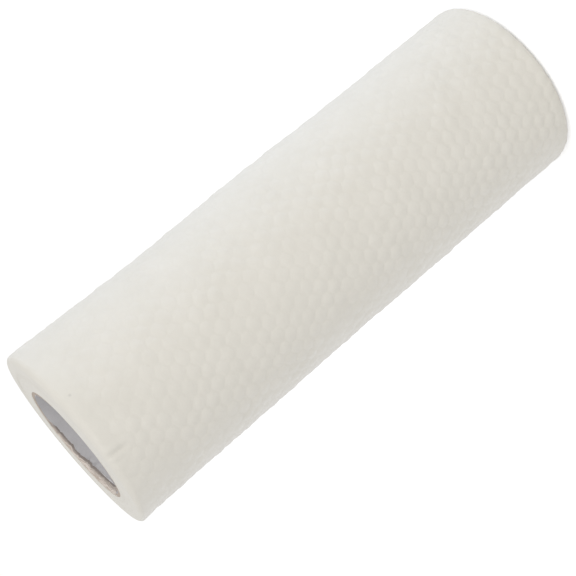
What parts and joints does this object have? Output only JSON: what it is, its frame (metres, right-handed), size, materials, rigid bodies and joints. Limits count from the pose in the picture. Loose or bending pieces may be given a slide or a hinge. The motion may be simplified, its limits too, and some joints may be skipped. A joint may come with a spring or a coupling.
{
  "type": "nonwoven kitchen towel roll",
  "caption": "Roll of off-white embossed nonwoven kitchen towel, wound on a paperboard core that is open from end to end and stood on its end.",
  "frame": {"origin": "on the core's axis, at the end face that the roll stands on", "axes": "+Z along the core's axis, up out of the standing end; +X towards the side to which the winding has crept off the core's axis; +Y a quarter turn anticlockwise from +X, seen from above"},
  "size_m": [0.0684, 0.0682, 0.2],
  "materials": {
    "core_paperboard": "matte grey paperboard liner with bare brown cut edges",
    "towel_nonwoven": "matte off-white embossed nonwoven viscose and polyester web"
  },
  "bodies": {
    "root": {"core": "core_paperboard", "towel": "towel_nonwoven"}
  },
  "joints": []
}
